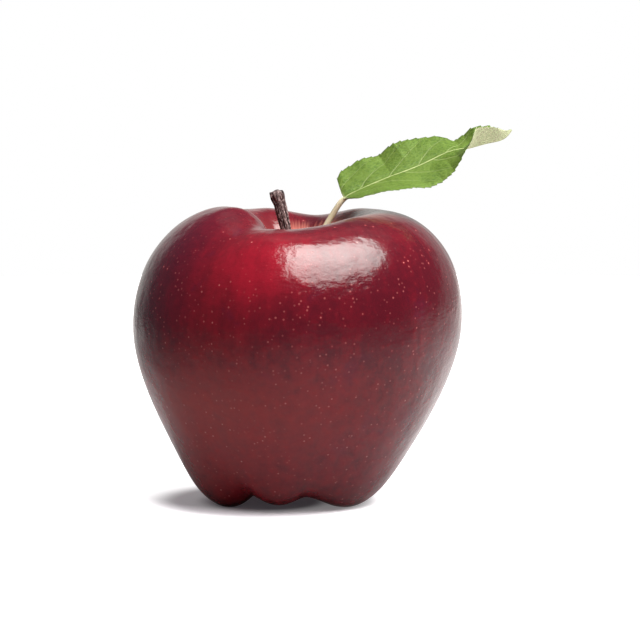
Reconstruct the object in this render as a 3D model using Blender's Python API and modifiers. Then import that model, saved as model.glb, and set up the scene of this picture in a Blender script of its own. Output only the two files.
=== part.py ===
"""A red apple: the fruit with its stem, one leaf tucked in beside the stem, and the dried flower
remains in the basin underneath. Metres, +Z up, -Y is the front.

The origin is on the table, under the middle of the whole object's bounding box. The fruit is five-lobed:
one profile is carried round the core, pressed in between the lobes, and cut flat where it stands.
Azimuths are degrees round the core, from the front (-Y) towards the right (+X). Points given in
millimetres are measured from the core's axis, at CORE_X and CORE_Y, and from the table.
"""

import math

import bmesh
import bpy
import numpy as np
from mathutils import Vector

MM = 0.001

# Where the core's axis stands, so that the bounding box of fruit and leaf is centred on the origin.
CORE_X = -6.2 * MM
CORE_Y = 0.17 * MM

# The fruit. Its profile runs from the bottom of the stem's cavity, over the shoulder and down the side,
# round the foot and up into the basin underneath: (distance from the core, height), in millimetres.
PROFILE_MM = [
    (0.0, 52.7),
    (3.4, 55.1),
    (7.6, 62.1),
    (12.4, 69.1),
    (18.0, 71.9),
    (24.6, 71.3),
    (31.4, 67.5),
    (37.0, 60.5),
    (40.0, 51.3),
    (40.4, 42.3),
    (37.8, 31.3),
    (33.4, 21.3),
    (28.4, 12.42),
    (23.8, 5.45),
    (19.4, 1.3),
    (15.4, 0.0),
    (11.4, 1.5),
    (8.0, 5.6),
    (4.6, 9.6),
    (0.0, 10.8),
]
FRUIT_SEGMENTS = 60
FRUIT_RINGS = 42
RING_CROWDING = 0.35  # more rings in the cavity and the basin, fewer round the middle
CORE_LEAN = 0.040  # the core leans to the right, metres of x per metre of height
LEAN_ABOUT = 44.3 * MM  # the height at which the lean moves nothing
FOOT_PRESS = 0.22 * MM  # how far the longest feet are flattened by the fruit's weight

# The five lobes: azimuth of the crest and of the valley after it, how far the foot stands off the table,
# how much further out than the profile it stands, how high the shoulder rises, and how far the shoulder
# dips in the valley after it. Lengths in millimetres.
LOBES = [
    {"crest": -62.0, "valley": -35.0, "foot": 0.0, "reach": 1.4, "shoulder": 1.4, "dip": 0.9},
    {"crest": -11.0, "valley": 14.0, "foot": 1.7, "reach": 0.0, "shoulder": -3.3, "dip": -0.5},
    {"crest": 58.0, "valley": 101.0, "foot": 0.1, "reach": 0.6, "shoulder": -0.4, "dip": -0.9},
    {"crest": 133.0, "valley": 172.0, "foot": 0.05, "reach": 0.6, "shoulder": -1.4, "dip": 1.5},
    {"crest": 206.0, "valley": 252.0, "foot": 0.0, "reach": 0.4, "shoulder": -1.9, "dip": -0.5},
]
VALLEY_ROUNDING = 0.36  # 0 leaves a sharp crease between two lobes
# How deep the valleys between the lobes are along the profile: (percent of its length, millimetres).
VALLEY_DEPTH = [
    (0.0, 0.0),
    (6.0, 0.4),
    (17.0, 0.8),
    (32.0, 0.9),
    (46.0, 0.7),
    (64.0, 0.8),
    (77.0, 1.5),
    (84.0, 2.7),
    (91.0, 2.2),
    (100.0, 0.0),
]
SHOULDER_AT, SHOULDER_SPREAD = 0.17, 0.12  # where along the profile the shoulders are, and how wide
SHOULDER_FADE = 0.1  # below this share a raised or lowered shoulder fades out into the cavity
FOOT_AT, FOOT_SPREAD = 0.84, 0.10

# The stem: (x, y, z, radius) from the bottom of the cavity to the knob it was picked by.
STEM_MM = [
    (0.3, 0.0, 53.37, 0.9),
    (0.25, 0.0, 53.87, 1.5),
    (-0.05, 0.0, 55.3, 1.45),
    (-1.05, -0.4, 59.3, 1.2),
    (-2.0, -0.8, 63.3, 1.25),
    (-3.0, -1.1, 67.3, 1.35),
    (-3.95, -1.4, 71.3, 1.55),
    (-4.75, -1.5, 74.3, 1.75),
    (-5.2, -1.5, 75.9, 1.8),
    (-5.35, -1.5, 76.5, 1.3),
]
STEM_SIDES = 14

# The leaf: its stalk's lower end, beside the stem in the cavity, up to the blade and along the rib to
# the tip. The tables below give values at distances along the rib, from where the blade begins.
LEAF_PATH_MM = [
    (2.35, 0.3, 54.8),
    (4.1, 0.4, 61.3),
    (6.8, 0.4, 67.6),
    (8.9, 0.2, 71.2),
    (11.2, 0.0, 74.3),
    (14.6, 0.7, 76.2),
    (21.5, 2.0, 79.1),
    (30.7, 3.9, 82.5),
    (37.6, 5.2, 85.5),
    (41.7, 5.9, 86.3),
    (46.8, 6.8, 87.5),
    (50.4, 7.3, 88.5),
    (52.3, 7.6, 90.5),
]
LEAF_STALK_POINTS = 5
LEAF_THICKNESS = 0.4
LEAF_STATIONS = 26
LEAF_STALK_STATIONS = 7
LEAF_ACROSS = 7  # points from the rib to the margin
RIB_MM = [(0.0, 0.62), (10.0, 0.5), (30.0, 0.33), (46.5, 0.2)]
HALF_WIDTH_MM = [
    (0.0, 0.62),
    (0.8, 3.8),
    (2.0, 8.2),
    (4.5, 10.2),
    (9.0, 11.0),
    (14.0, 11.3),
    (20.0, 11.0),
    (26.0, 9.6),
    (31.0, 7.9),
    (36.0, 6.3),
    (42.0, 4.0),
    (44.5, 2.4),
    (46.8, 0.2),
]
# How steeply the two halves of the blade rise from the rib, in degrees; the front half droops at first.
BACK_RISE = [
    (0.0, 33.0),
    (9.0, 32.0),
    (13.4, 26.0),
    (18.0, 37.0),
    (24.4, 34.0),
    (28.0, 26.0),
    (31.5, 12.0),
    (34.0, 22.0),
    (36.5, 42.0),
    (40.0, 47.0),
]
FRONT_RISE = [
    (0.0, -6.0),
    (4.6, -7.0),
    (9.6, -10.0),
    (15.4, -18.0),
    (18.8, -25.0),
    (22.7, -28.5),
    (26.6, -25.0),
    (29.5, -13.0),
    (31.0, 0.0),
    (33.2, 18.0),
    (35.5, 44.0),
    (39.0, 48.0),
]

# The dried remains of the flower, in the basin: five sepals round a tuft of stamens.
SEPAL_AZIMUTHS = (18.0, 92.0, 160.0, 236.0, 305.0)
# Where a sepal runs, from its base to its tip: (distance from the core, height).
SEPAL_PATH_MM = [(1.5, 10.3), (2.0, 9.1), (2.9, 7.7), (4.1, 6.7), (5.4, 6.2)]
SEPAL_WIDTH_MM = [1.25, 1.7, 1.9, 1.3, 0.4]
SEPAL_THICKNESS = 0.35
TUFT_TOP, TUFT_FOOT = 10.42, 6.9
TUFT_RADII = (0.85, 0.5)

COLOURS = {
    "fruit": ((0.25, 0.015, 0.025), 0.25),
    "stem": ((0.09, 0.05, 0.035), 0.7),
    "leaf": ((0.17, 0.33, 0.06), 0.45),
    "sepal": ((0.12, 0.07, 0.04), 0.8),
    "stamen": ((0.06, 0.035, 0.02), 0.85),
}


def lengths_along(points):
    steps = np.linalg.norm(np.diff(points, axis=0), axis=1)
    return np.concatenate([[0.0], np.cumsum(steps)])


def spline(points, samples):
    """Evenly spaced points along a natural cubic spline through the given ones."""
    knots = np.array(points, float)
    along = lengths_along(knots)
    gap = np.diff(along)
    system = np.eye(len(knots))
    target = np.zeros_like(knots)
    for i in range(1, len(knots) - 1):
        system[i, i - 1 : i + 2] = gap[i - 1], 2 * (gap[i - 1] + gap[i]), gap[i]
        target[i] = 6 * ((knots[i + 1] - knots[i]) / gap[i] - (knots[i] - knots[i - 1]) / gap[i - 1])
    bend = np.linalg.solve(system, target)
    fine = np.linspace(0.0, along[-1], 40 * len(knots))
    k = np.clip(np.searchsorted(along, fine) - 1, 0, len(gap) - 1)
    a = ((along[k + 1] - fine) / gap[k])[:, None]
    b = 1 - a
    curve = a * knots[k] + b * knots[k + 1]
    curve += ((a**3 - a) * bend[k] + (b**3 - b) * bend[k + 1]) * (gap[k] ** 2)[:, None] / 6
    travelled = lengths_along(curve)
    wanted = np.linspace(0.0, travelled[-1], samples)
    return np.stack([np.interp(wanted, travelled, column) for column in curve.T], axis=1)


def table(rows, x):
    return float(np.interp(x, [row[0] for row in rows], [row[1] for row in rows]))


def bell(x, centre, spread):
    return math.exp(-(((x - centre) / spread) ** 2))


def smoothstep(x):
    x = min(1.0, max(0.0, x))
    return x * x * (3 - 2 * x)


def from_core(x, y, z):
    return Vector((CORE_X + x * MM, CORE_Y + y * MM, z * MM))


def lobe_at(azimuth):
    """1 on a lobe's crest and 0 in a valley, then the foot, reach and shoulder at this azimuth."""
    start = LOBES[0]["crest"]
    azimuth = (azimuth - start) % 360.0 + start
    crests = [lobe["crest"] for lobe in LOBES] + [start + 360.0]
    i = max(k for k in range(len(LOBES)) if crests[k] <= azimuth)
    share = float(np.interp(azimuth, [crests[i], LOBES[i]["valley"], crests[i + 1]], [0.0, 0.5, 1.0]))
    ridge = math.hypot(math.cos(math.pi * share), VALLEY_ROUNDING) - VALLEY_ROUNDING
    crest = ridge / (math.hypot(1.0, VALLEY_ROUNDING) - VALLEY_ROUNDING)
    here, after = LOBES[i], LOBES[(i + 1) % len(LOBES)]
    blend = smoothstep(share)
    own = {key: here[key] * (1 - blend) + after[key] * blend for key in ("foot", "reach", "shoulder")}
    own["shoulder"] -= here["dip"] * math.sin(math.pi * share) ** 2
    return crest, own


class FruitSkin:
    """The fruit's surface: at(share of the profile, azimuth) gives a point on it."""

    SAMPLES = 801

    def __init__(self):
        # The profile's mirror images over the core at both ends keep it level where it meets the core.
        first, last = PROFILE_MM[1], PROFILE_MM[-2]
        whole = spline([(-first[0], first[1]), *PROFILE_MM, (-last[0], last[1])], 4 * self.SAMPLES)
        right = whole[whole[:, 0] >= 0]
        along = lengths_along(right)
        shares = np.linspace(0.0, 1.0, self.SAMPLES)
        self.profile = np.stack([np.interp(shares, along / along[-1], column) for column in right.T], axis=1)
        self.profile[[0, -1], 0] = 0.0
        run = np.gradient(self.profile, axis=0)
        out = np.stack([-run[:, 1], run[:, 0]], axis=1)
        self.outward = out / np.linalg.norm(out, axis=1)[:, None]
        valley = spline(VALLEY_DEPTH, self.SAMPLES)
        self.valley = np.interp(100 * shares, valley[:, 0], valley[:, 1])

    def at(self, share, azimuth):
        place = share * (self.SAMPLES - 1)
        low = min(int(place), self.SAMPLES - 2)
        mix = place - low
        radius, height = self.profile[low] * (1 - mix) + self.profile[low + 1] * mix
        out_r, out_z = self.outward[low] * (1 - mix) + self.outward[low + 1] * mix
        depth = self.valley[low] * (1 - mix) + self.valley[low + 1] * mix
        crest, lobe = lobe_at(azimuth)
        radius -= out_r * depth * (1 - crest)
        height -= out_z * depth * (1 - crest)
        fade = math.sin(math.pi / 2 * min(1.0, share / SHOULDER_FADE))
        height += lobe["shoulder"] * fade * bell(share, SHOULDER_AT, SHOULDER_SPREAD)
        height += lobe["foot"] * bell(share, FOOT_AT, FOOT_SPREAD)
        radius += lobe["reach"] * bell(share, FOOT_AT, FOOT_SPREAD)
        height -= FOOT_PRESS / MM
        lean = CORE_LEAN * (height - LEAN_ABOUT / MM)
        turn = math.radians(azimuth)
        return from_core(radius * math.sin(turn) + lean, -radius * math.cos(turn), height)


def new_collection(name):
    made = bpy.data.collections.new(name)
    bpy.context.scene.collection.children.link(made)
    return made


def add_piece(collection, name, shape, look):
    """One finished node from a bmesh, which is freed."""
    bmesh.ops.recalc_face_normals(shape, faces=shape.faces)
    mesh = bpy.data.meshes.new(name)
    shape.to_mesh(mesh)
    shape.free()
    mesh.shade_smooth()
    mesh.materials.append(look)
    piece = bpy.data.objects.new(name, mesh)
    collection.objects.link(piece)
    return piece


def make_look(name):
    colour, roughness = COLOURS[name]
    look = bpy.data.materials.new(name)
    look.use_nodes = True
    shader = look.node_tree.nodes["Principled BSDF"]
    shader.inputs["Base Color"].default_value = (*colour, 1.0)
    shader.inputs["Roughness"].default_value = roughness
    shader.inputs["Metallic"].default_value = 0.0
    look.diffuse_color = (*colour, 1.0)
    return look


def make_fruit(collection, look):
    """A sphere carried onto the skin, then cut level with the table so that it stands on its feet."""
    skin = FruitSkin()
    shape = bmesh.new()
    bmesh.ops.create_uvsphere(shape, u_segments=FRUIT_SEGMENTS, v_segments=FRUIT_RINGS, radius=1.0)
    for vertex in shape.verts:
        share = math.acos(max(-1.0, min(1.0, vertex.co.z))) / math.pi
        share -= RING_CROWDING * math.sin(2 * math.pi * share) / (2 * math.pi)
        azimuth = math.degrees(math.atan2(vertex.co.x, -vertex.co.y))
        vertex.co = skin.at(share, azimuth)
    everything = [*shape.verts, *shape.edges, *shape.faces]
    table = {"plane_co": (0, 0, 0), "plane_no": (0, 0, 1)}
    cut = bmesh.ops.bisect_plane(shape, geom=everything, clear_inner=True, **table)
    rims = [item for item in cut["geom_cut"] if isinstance(item, bmesh.types.BMEdge)]
    bmesh.ops.holes_fill(shape, edges=rims, sides=0)
    return add_piece(collection, "fruit", shape, look)


def make_stem(collection, look):
    """A bevelled curve that thickens to a knob, closed at both ends."""
    curve = bpy.data.curves.new("stem_line", "CURVE")
    curve.dimensions = "3D"
    curve.bevel_depth = 1.0
    curve.bevel_resolution = STEM_SIDES // 2 - 2
    curve.use_fill_caps = True
    line = curve.splines.new("POLY")
    line.points.add(len(STEM_MM) - 1)
    for point, (x, y, z, radius) in zip(line.points, STEM_MM):
        point.co = (*from_core(x, y, z), 1.0)
        point.radius = radius * MM
    drawn = bpy.data.objects.new("stem_line", curve)
    collection.objects.link(drawn)
    bpy.context.view_layer.update()
    mesh = bpy.data.meshes.new_from_object(drawn.evaluated_get(bpy.context.evaluated_depsgraph_get()))
    shape = bmesh.new()
    shape.from_mesh(mesh)
    bmesh.ops.remove_doubles(shape, verts=shape.verts, dist=0.01 * MM)
    bpy.data.objects.remove(drawn)
    bpy.data.meshes.remove(mesh)
    return add_piece(collection, "stem", shape, look)


class LeafForm:
    """The leaf's outer surface, from sections square to the path that its stalk and rib follow."""

    def __init__(self):
        self.path = spline(LEAF_PATH_MM, 800)
        self.along = lengths_along(self.path)
        knots = np.array(LEAF_PATH_MM[:LEAF_STALK_POINTS])
        nearest = np.argmin(np.linalg.norm(self.path - knots[-1], axis=1))
        self.along -= self.along[nearest]

    def stations(self):
        """Distances along the rib, counted from where the blade begins; crowded at the blade's ends."""
        stalk = np.linspace(self.along[0], 0.0, LEAF_STALK_STATIONS, endpoint=False)
        eased = (1 - np.cos(np.linspace(0.0, math.pi, LEAF_STATIONS))) / 2
        return [*stalk, *(eased * self.along[-1])]

    def frame(self, s):
        """A point of the path, and there the directions across the blade (to the back) and upwards."""
        point = Vector([np.interp(s, self.along, column) for column in self.path.T])
        ahead = Vector([np.interp(s + 0.5, self.along, column) for column in self.path.T])
        behind = Vector([np.interp(s - 0.5, self.along, column) for column in self.path.T])
        forward = (ahead - behind).normalized()
        back = Vector((0.0, 1.0, 0.0))
        back = (back - forward * back.dot(forward)).normalized()
        return point, back, forward.cross(back)

    def section(self, s):
        """A ring of points round the leaf: over the top from the front margin to the back, and back under."""
        point, back, up = self.frame(s)
        rib = table(RIB_MM, s)
        width = table(HALF_WIDTH_MM, s)
        rises = {-1: math.radians(table(FRONT_RISE, s)), 1: math.radians(table(BACK_RISE, s))}

        def place(side, distance, height):
            rise = rises[side] * smoothstep(distance / (4 * rib)) if width > rib else 0.0
            across = back * (side * math.cos(rise)) + up * math.sin(rise)
            outward = up * math.cos(rise) - back * (side * math.sin(rise))
            return from_core(*(point + across * distance + outward * height))

        reach = [self.distance(i, rib, width) for i in range(LEAF_ACROSS + 1)]
        margin = LEAF_ACROSS
        top = [(-1, i) for i in range(margin, 0, -1)] + [(1, i) for i in range(margin + 1)]
        under = [(1, i) for i in range(margin - 1, -1, -1)] + [(-1, i) for i in range(1, margin)]
        ring = [place(side, reach[i], self.height(reach[i], i, rib, width, False)) for side, i in top]
        return ring + [place(side, reach[i], self.height(reach[i], i, rib, width, True)) for side, i in under]

    def distance(self, i, rib, width):
        """How far from the rib's middle the i-th point of a section is."""
        round_stalk = math.sin(math.pi / 2 * i / LEAF_ACROSS) * width
        over_rib = LEAF_ACROSS // 3
        if i <= over_rib:
            blade = rib * math.sin(math.pi / 2 * i / (over_rib + 1))
        else:
            blade = rib + (width - rib) * (i - over_rib) / (LEAF_ACROSS - over_rib)
        mix = min(1.0, (width - rib) / rib) if width > rib else 0.0
        return round_stalk * (1 - mix) + blade * mix

    def height(self, distance, i, rib, width, underside):
        """How far above or below the middle of the blade the surface is."""
        if i == LEAF_ACROSS:
            return 0.0
        round_part = math.sqrt(max(0.0, rib**2 - distance**2))
        mix = min(1.0, (width - rib) / rib) if width > rib else 0.0
        blade = LEAF_THICKNESS / 2 * mix
        if underside:
            return -max(round_part, blade)
        return max(round_part * (1 - mix), blade)


def make_leaf(collection, look):
    form = LeafForm()
    shape = bmesh.new()
    rings = [[shape.verts.new(point) for point in form.section(s)] for s in form.stations()]
    for ring, after in zip(rings, rings[1:]):
        for i in range(len(ring)):
            k = (i + 1) % len(ring)
            shape.faces.new((ring[i], ring[k], after[k], after[i]))
    shape.faces.new(rings[0])
    shape.faces.new(reversed(rings[-1]))
    return add_piece(collection, "leaf", shape, look)


def make_sepal(collection, name, look, azimuth):
    """A narrow strip bent down and outwards, given its thickness afterwards."""
    turn = math.radians(azimuth)
    outward = Vector((math.sin(turn), -math.cos(turn), 0.0))
    sideways = Vector((math.cos(turn), math.sin(turn), 0.0))
    shape = bmesh.new()
    rows = []
    for (radius, height), width in zip(SEPAL_PATH_MM, SEPAL_WIDTH_MM):
        lean = CORE_LEAN * (height - LEAN_ABOUT / MM)
        middle = outward * radius + Vector((lean, 0.0, height - FOOT_PRESS / MM))
        rows.append([])
        for share in (-1.0, 0.0, 1.0):
            cupped = outward * (0.12 * width * share**2)
            rows[-1].append(shape.verts.new(from_core(*(middle + sideways * (share * width / 2) - cupped))))
    for row, after in zip(rows, rows[1:]):
        for i in range(2):
            shape.faces.new((row[i], row[i + 1], after[i + 1], after[i]))
    piece = add_piece(collection, name, shape, look)
    shell = piece.modifiers.new("thickness", "SOLIDIFY")
    shell.thickness = SEPAL_THICKNESS * MM
    shell.offset = 0.0
    return piece


def make_tuft(collection, look):
    """The dried stamens and styles, one fluted bunch."""
    shape = bmesh.new()
    length = (TUFT_TOP - TUFT_FOOT) * MM
    bmesh.ops.create_cone(
        shape,
        cap_ends=True,
        segments=20,
        radius1=TUFT_RADII[1] * MM,
        radius2=TUFT_RADII[0] * MM,
        depth=length,
    )
    lean = CORE_LEAN * (TUFT_TOP - LEAN_ABOUT / MM)
    middle = from_core(lean, 0.0, (TUFT_TOP + TUFT_FOOT) / 2 - FOOT_PRESS / MM)
    for vertex in shape.verts:
        turn = math.atan2(vertex.co.x, vertex.co.y)
        flute = 1 + 0.12 * math.cos(5 * turn)
        vertex.co = middle + Vector((vertex.co.x * flute, vertex.co.y * flute, vertex.co.z))
    return add_piece(collection, "stamen_tuft", shape, look)


def main():
    for old in list(bpy.data.objects):
        bpy.data.objects.remove(old)
    apple = new_collection("red_apple")
    looks = {name: make_look(name) for name in COLOURS}
    make_fruit(apple, looks["fruit"])
    make_stem(apple, looks["stem"])
    make_leaf(apple, looks["leaf"])
    for number, azimuth in enumerate(SEPAL_AZIMUTHS, start=1):
        make_sepal(apple, f"sepal_{number}", looks["sepal"], azimuth)
    make_tuft(apple, looks["stamen"])


main()
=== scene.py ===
# A red apple standing on its feet, with its stem, one leaf and the dried flower underneath.
# Metres, Z up, the front is -Y. Lengths in the dictionaries are millimetres unless a note says otherwise.
# Azimuths are degrees round the core, from the front towards the right.
import math

import bmesh
import bpy
import numpy as np
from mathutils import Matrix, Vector, noise


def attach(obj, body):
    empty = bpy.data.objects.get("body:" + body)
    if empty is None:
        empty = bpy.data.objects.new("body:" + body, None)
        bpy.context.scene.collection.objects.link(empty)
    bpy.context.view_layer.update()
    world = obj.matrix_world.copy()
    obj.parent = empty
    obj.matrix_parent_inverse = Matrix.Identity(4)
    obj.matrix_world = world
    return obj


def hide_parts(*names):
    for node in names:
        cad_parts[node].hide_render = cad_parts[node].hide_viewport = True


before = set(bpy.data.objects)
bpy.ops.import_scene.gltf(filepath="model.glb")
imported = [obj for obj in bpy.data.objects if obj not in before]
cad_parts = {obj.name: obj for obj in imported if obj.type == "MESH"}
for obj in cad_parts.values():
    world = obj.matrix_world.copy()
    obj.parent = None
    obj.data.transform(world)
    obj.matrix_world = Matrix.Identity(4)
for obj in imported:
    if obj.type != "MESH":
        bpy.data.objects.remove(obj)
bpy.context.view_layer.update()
mm = 0.001

core = {
    "x": -6.2,  # where the axis of the fruit stands
    "y": 0.17,
    "lean": 0.040,  # sideways per height
    "leanAbout": 44.3,
}


# small helpers
def lengthsAlong(points):
    steps = np.linalg.norm(np.diff(points, axis=0), axis=1)
    return np.concatenate([[0.0], np.cumsum(steps)])


def spline(points, samples):
    # evenly spaced points on a natural cubic spline
    knots = np.array(points, float)
    along = lengthsAlong(knots)
    gap = np.diff(along)
    system = np.eye(len(knots))
    target = np.zeros_like(knots)
    for i in range(1, len(knots) - 1):
        system[i, i - 1 : i + 2] = gap[i - 1], 2 * (gap[i - 1] + gap[i]), gap[i]
        target[i] = 6 * ((knots[i + 1] - knots[i]) / gap[i] - (knots[i] - knots[i - 1]) / gap[i - 1])
    bend = np.linalg.solve(system, target)
    fine = np.linspace(0.0, along[-1], 40 * len(knots))
    k = np.clip(np.searchsorted(along, fine) - 1, 0, len(gap) - 1)
    a = ((along[k + 1] - fine) / gap[k])[:, None]
    b = 1 - a
    curve = a * knots[k] + b * knots[k + 1]
    curve += ((a**3 - a) * bend[k] + (b**3 - b) * bend[k + 1]) * (gap[k] ** 2)[:, None] / 6
    travelled = lengthsAlong(curve)
    wanted = np.linspace(0.0, travelled[-1], samples)
    return np.stack([np.interp(wanted, travelled, column) for column in curve.T], axis=1)


def onPath(path, share):
    # the point at a share of the path, and the step to the next one
    k = share * (len(path) - 1)
    low = min(int(k), len(path) - 2)
    step = path[low + 1] - path[low]
    return path[low] + step * (k - low), step


def lookUp(rows, x):
    return float(np.interp(x, [row[0] for row in rows], [row[1] for row in rows]))


def bell(x, centre, spread):
    return math.exp(-(((x - centre) / spread) ** 2))


def ease(x):
    x = min(1.0, max(0.0, x))
    return x * x * (3 - 2 * x)


def fromCore(x, y, z):
    return Vector((core["x"] + x, core["y"] + y, z)) * mm


def leanAt(height):
    return core["lean"] * (height - core["leanAbout"])


def wobble(x, y, z):
    # smooth noise between about -1 and 1
    return noise.noise(Vector((x, y, z)))


def sphereShape(around, rings, place):
    # a closed shape: every point of a sphere is put where place(share from pole to pole, turn) says
    shape = bmesh.new()
    bmesh.ops.create_uvsphere(shape, u_segments=around, v_segments=rings, radius=1.0)
    facts = []
    for vertex in shape.verts:
        share = math.acos(max(-1.0, min(1.0, vertex.co.z))) / math.pi
        turn = math.atan2(vertex.co.x, -vertex.co.y)
        vertex.co, fact = place(share, turn)
        facts.append(fact)
    return shape, facts


def addFact(mesh, name, values):
    # a number or a vector for every vertex, for the materials to read
    kind, key = ("FLOAT_VECTOR", "vector") if np.ndim(values) == 2 else ("FLOAT", "value")
    attribute = mesh.attributes.new(name, kind, "POINT")
    attribute.data.foreach_set(key, np.array(values, np.float32).ravel())


def finishPiece(name, shape, look, nodes):
    bmesh.ops.recalc_face_normals(shape, faces=shape.faces)
    mesh = bpy.data.meshes.new(name)
    shape.to_mesh(mesh)
    shape.free()
    mesh.shade_smooth()
    mesh.materials.append(look)
    piece = bpy.data.objects.new(name, mesh)
    bpy.context.scene.collection.objects.link(piece)
    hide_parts(*nodes)
    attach(piece, "root")
    return piece


# shader helpers
class Wire:
    # one output socket; arithmetic on it adds Math nodes
    def __init__(self, look, socket):
        self.look = look
        self.socket = socket

    def maths(self, operation, *values):
        return self.look.node("ShaderNodeMath", {"operation": operation}, dict(enumerate(values)))

    def __add__(self, other):
        return self.maths("ADD", self, other)

    def __radd__(self, other):
        return self.maths("ADD", other, self)

    def __sub__(self, other):
        return self.maths("SUBTRACT", self, other)

    def __rsub__(self, other):
        return self.maths("SUBTRACT", other, self)

    def __mul__(self, other):
        return self.maths("MULTIPLY", self, other)

    def __rmul__(self, other):
        return self.maths("MULTIPLY", other, self)

    def __truediv__(self, other):
        return self.maths("DIVIDE", self, other)

    def __pow__(self, other):
        return self.maths("POWER", self, other)

    def __abs__(self):
        return self.maths("ABSOLUTE", self)

    def step(self, low, high):
        # 0 below low, 1 above high and eased between; low may be the larger
        return self.look.node(
            "ShaderNodeMapRange",
            {"interpolation_type": "SMOOTHSTEP"},
            {"Value": self, "From Min": low, "From Max": high},
        )

    def atLeast(self, other):
        return self.maths("MAXIMUM", self, other)

    def atMost(self, other):
        return self.maths("MINIMUM", self, other)


class Look:
    # a material and its shader
    def __init__(self, name, roughness=0.5, **constants):
        self.material = bpy.data.materials.new(name)
        self.material.use_nodes = True
        self.tree = self.material.node_tree
        self.shader = self.tree.nodes["Principled BSDF"]
        self.feed(Roughness=roughness, **constants)

    def node(self, kind, settings, values, output=0):
        made = self.tree.nodes.new(kind)
        for key, value in settings.items():
            if key == "stops":
                self.setStops(made.color_ramp, value)
            else:
                setattr(made, key, value)
        for key, value in values.items():
            self.join(made.inputs[key], value)
        return Wire(self, made.outputs[output])

    def setStops(self, ramp, stops):
        while len(ramp.elements) < len(stops):
            ramp.elements.new(0.5)
        for element, (position, colour) in zip(ramp.elements, stops):
            element.position = position
            element.color = (*colour, 1.0)

    def join(self, socket, value):
        if isinstance(value, Wire):
            self.tree.links.new(value.socket, socket)
        elif socket.type == "RGBA" and len(value) == 3:
            socket.default_value = (*value, 1.0)
        else:
            socket.default_value = value

    def feed(self, **values):
        # sets or links the shader's own sockets; CoatWeight means Coat Weight
        for key, value in values.items():
            words = "".join(" " + letter if letter.isupper() else letter for letter in key).strip()
            self.join(self.shader.inputs[words.replace("I O R", "IOR")], value)

    def mix(self, share, first, second):
        return self.node("ShaderNodeMix", {"data_type": "RGBA"}, {0: share, 6: first, 7: second}, output=2)

    def place(self):
        return self.node("ShaderNodeTexCoord", {}, {}, output="Object")

    def fact(self, name, output="Fac"):
        return self.node("ShaderNodeAttribute", {"attribute_name": name}, {}, output=output)

    def stretch(self, vector, x, y, z):
        return self.node("ShaderNodeVectorMath", {"operation": "MULTIPLY"}, {0: vector, 1: (x, y, z)})

    def split(self, vector):
        made = self.node("ShaderNodeSeparateXYZ", {}, {0: vector})
        return [Wire(self, output) for output in made.socket.node.outputs]

    def grain(self, vector, scale, detail=2.0, roughness=0.5):
        values = {"Vector": vector, "Scale": scale, "Detail": detail, "Roughness": roughness}
        return self.node("ShaderNodeTexNoise", {}, values, output="Fac")

    def cells(self, vector, scale, feature="F1"):
        values = {"Vector": vector, "Scale": scale, "Randomness": 1.0}
        return self.node("ShaderNodeTexVoronoi", {"feature": feature}, values, output="Distance")

    def bump(self, height, distance, normal=None):
        values = {"Height": height, "Distance": distance, "Strength": 1.0}
        if normal is not None:
            values["Normal"] = normal
        return self.node("ShaderNodeBump", {}, values)


# the fruit
fruit = {
    # (distance from the core, height): stem cavity, shoulder, flank, foot, basin
    "profile": [
        (0.0, 52.7), (3.4, 55.1), (7.6, 62.1), (12.4, 69.1), (18.0, 71.9), (24.6, 71.3), (31.4, 67.5),
        (37.0, 60.5), (40.0, 51.3), (40.4, 42.3), (37.8, 31.3), (33.4, 21.3), (28.4, 12.42), (23.8, 5.45),
        (19.4, 1.3), (15.4, 0.0), (11.4, 1.5), (8.0, 5.6), (4.6, 9.6), (0.0, 10.8),
    ],
    # crest and the valley after it, foot above the table, reach of the foot, shoulder, dip in the valley
    "lobes": [
        (-62.0, -35.0, 0.0, 1.4, 1.4, 0.9),
        (-11.0, 14.0, 1.7, 0.0, -3.3, -0.5),
        (58.0, 101.0, 0.1, 0.6, -0.4, -0.9),
        (133.0, 172.0, 0.05, 0.6, -1.4, 1.5),
        (206.0, 252.0, 0.0, 0.4, -1.9, -0.5),
    ],
    "valley": [  # depth of the valleys, at percents of the profile
        (0.0, 0.0), (6.0, 0.4), (17.0, 0.8), (32.0, 0.9), (46.0, 0.7), (64.0, 0.8), (77.0, 1.5),
        (84.0, 2.7), (91.0, 2.2), (100.0, 0.0),
    ],
    "rounding": 0.36,
    "shoulder": (0.17, 0.12),  # place along the profile and spread
    "foot": (0.84, 0.10),
    "press": 0.22,  # feet flattened by the weight
    "around": 352,
    "rings": 270,
    "ripple": 0.045,  # long shallow ridges from stem to foot
    "dents": 0.14,
    "dimples": 0.045,
    "folds": 0.10,  # creases that run into the cavity and the basin
    # shallow grooves down the side: azimuth, place along the profile, half width, half length, depth
    "grooves": [
        (24.0, 0.34, 2.6, 0.06, 0.10), (-37.0, 0.30, 4.0, 0.09, 0.10), (83.0, 0.40, 5.0, 0.12, 0.18),
        (118.0, 0.33, 4.0, 0.10, 0.14), (171.0, 0.36, 5.0, 0.12, 0.16), (232.0, 0.42, 4.5, 0.14, 0.15),
    ],
}


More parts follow.
